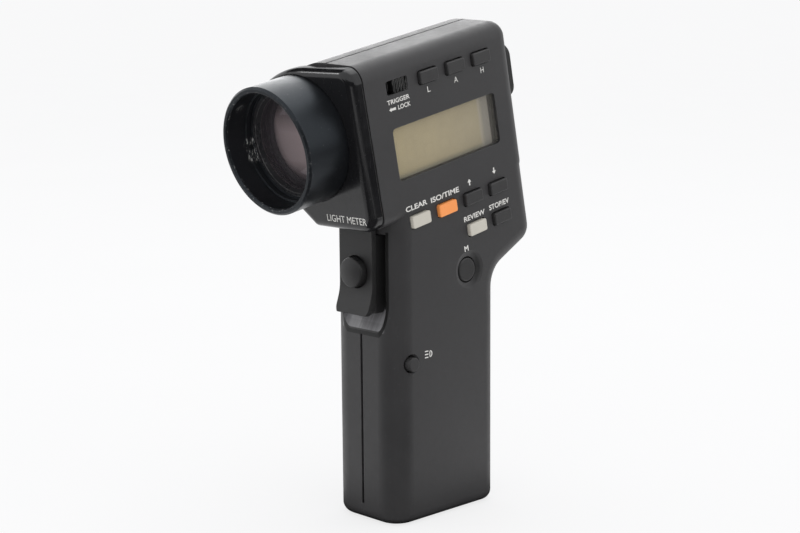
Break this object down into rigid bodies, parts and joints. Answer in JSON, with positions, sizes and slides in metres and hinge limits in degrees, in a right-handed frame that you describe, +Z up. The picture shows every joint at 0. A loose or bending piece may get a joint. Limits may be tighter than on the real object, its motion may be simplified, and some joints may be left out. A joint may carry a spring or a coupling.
{
  "type": "handheld light meter",
  "caption": "Handheld spot light meter: wide optical head with lens hood and eyepiece, side display and keys, trigger button and upright hand grip.",
  "frame": {"origin": "centre of the grip's flat base", "axes": "+Z up along the grip, -Y the way the lens looks, +X the display side"},
  "size_m": [0.047, 0.0934, 0.1498],
  "materials": {
    "shell_black": "fine-grained satin",
    "cover_black": "gloss",
    "hood_black": "satin black anodised",
    "ring_black": "matt black",
    "coated_glass": "coated",
    "clear_glass": "clear",
    "display_glass": "satin",
    "key_black": "satin",
    "key_grey": "satin",
    "key_orange": "satin",
    "trigger_black": "fine-grained satin",
    "rubber_black": "matt",
    "inner_black": "matt",
    "board_green": "satin",
    "switch_body": "satin",
    "spring_steel": "plain",
    "plated_brass": "plated",
    "cell_wrap": "printed wrap"
  },
  "bodies": {
    "casing": {"base_plate": "trigger_black", "battery_cell": "cell_wrap", "battery_contact": "plated_brass", "battery_spring": "spring_steel", "battery_tray": "inner_black", "beam_splitter": "clear_glass", "case_screws": "spring_steel", "display_holder": "inner_black", "display_panel": "display_glass", "display_window": "clear_glass", "eyecup": "rubber_black", "eyepiece_housing": "inner_black", "finder_display": "display_glass", "finder_lamp": "switch_body", "front_cover": "cover_black", "front_lens": "coated_glass", "grip_board": "board_green", "keypad_membranes": "rubber_black", "lamp_switch": "switch_body", "left_shell": "shell_black", "lens_hood": "hood_black", "lens_retaining_ring": "ring_black", "lens_tube": "inner_black", "light_baffle": "inner_black", "main_board": "board_green", "measure_spring": "spring_steel", "measure_switch": "switch_body", "memory_switch": "switch_body", "optical_chassis": "inner_black", "photocell": "switch_body", "rear_lens": "coated_glass", "right_shell": "shell_black", "trigger_plate": "trigger_black", "tripod_bush": "plated_brass"},
    "key_shadow": {"key_shadow": "key_black"},
    "key_average": {"key_average": "key_black"},
    "key_highlight": {"key_highlight": "key_black"},
    "key_memory_clear": {"key_memory_clear": "key_grey"},
    "key_iso_time": {"key_iso_time": "key_orange"},
    "key_up": {"key_up": "key_black"},
    "key_down": {"key_down": "key_black"},
    "key_recall": {"key_recall": "key_grey"},
    "key_fnumber_ev": {"key_fnumber_ev": "key_black"},
    "memory_button": {"memory_button": "key_black"},
    "lamp_button": {"lamp_button": "key_black"},
    "measure_button": {"measure_button": "key_black"},
    "lock_slider": {"lock_slider": "key_black"},
    "battery_cap": {"battery_cap": "key_black"},
    "dioptre_ring": {"dioptre_ring": "inner_black", "eyepiece_lens": "clear_glass"}
  },
  "joints": [
    {"name": "key_shadow_press", "type": "slide", "parent": "casing", "child": "key_shadow", "axis": [-1, 0, 0], "range_m": [0, 0.0008], "stiffness_N_per_m": 400},
    {"name": "key_average_press", "type": "slide", "parent": "casing", "child": "key_average", "axis": [-1, 0, 0], "range_m": [0, 0.0008], "stiffness_N_per_m": 400},
    {"name": "key_highlight_press", "type": "slide", "parent": "casing", "child": "key_highlight", "axis": [-1, 0, 0], "range_m": [0, 0.0008], "stiffness_N_per_m": 400},
    {"name": "key_memory_clear_press", "type": "slide", "parent": "casing", "child": "key_memory_clear", "axis": [-1, 0, 0], "range_m": [0, 0.0008], "stiffness_N_per_m": 400},
    {"name": "key_iso_time_press", "type": "slide", "parent": "casing", "child": "key_iso_time", "axis": [-1, 0, 0], "range_m": [0, 0.0008], "stiffness_N_per_m": 400},
    {"name": "key_up_press", "type": "slide", "parent": "casing", "child": "key_up", "axis": [-1, 0, 0], "range_m": [0, 0.0008], "stiffness_N_per_m": 400},
    {"name": "key_down_press", "type": "slide", "parent": "casing", "child": "key_down", "axis": [-1, 0, 0], "range_m": [0, 0.0008], "stiffness_N_per_m": 400},
    {"name": "key_recall_press", "type": "slide", "parent": "casing", "child": "key_recall", "axis": [-1, 0, 0], "range_m": [0, 0.0008], "stiffness_N_per_m": 400},
    {"name": "key_fnumber_ev_press", "type": "slide", "parent": "casing", "child": "key_fnumber_ev", "axis": [-1, 0, 0], "range_m": [0, 0.0008], "stiffness_N_per_m": 400},
    {"name": "memory_button_press", "type": "slide", "parent": "casing", "child": "memory_button", "axis": [-1, 0, 0], "range_m": [0, 0.0008], "stiffness_N_per_m": 400},
    {"name": "lamp_button_press", "type": "slide", "parent": "casing", "child": "lamp_button", "axis": [-1, 0, 0], "range_m": [0, 0.0008], "stiffness_N_per_m": 400},
    {"name": "measure_button_press", "type": "slide", "parent": "casing", "child": "measure_button", "axis": [0, 1, 0], "range_m": [0, 0.0016], "stiffness_N_per_m": 500, "deforming": ["measure_spring"]},
    {"name": "lock_slider_slide", "type": "slide", "parent": "casing", "child": "lock_slider", "axis": [0, -0.9806, -0.1959], "range_m": [0, 0.0026]},
    {"name": "dioptre_ring_turn", "type": "hinge", "parent": "casing", "child": "dioptre_ring", "pos_m": [-0.01, 0.03359, 0.13278], "axis": [0, 0.9806, 0.1959], "range_deg": [-70, 70]},
    {"name": "battery_cap_turn", "type": "hinge", "parent": "casing", "child": "battery_cap", "pos_m": [0, -0.0094, 0.001], "axis": [0, 0, 1], "range_deg": [0, 80]}
  ]
}
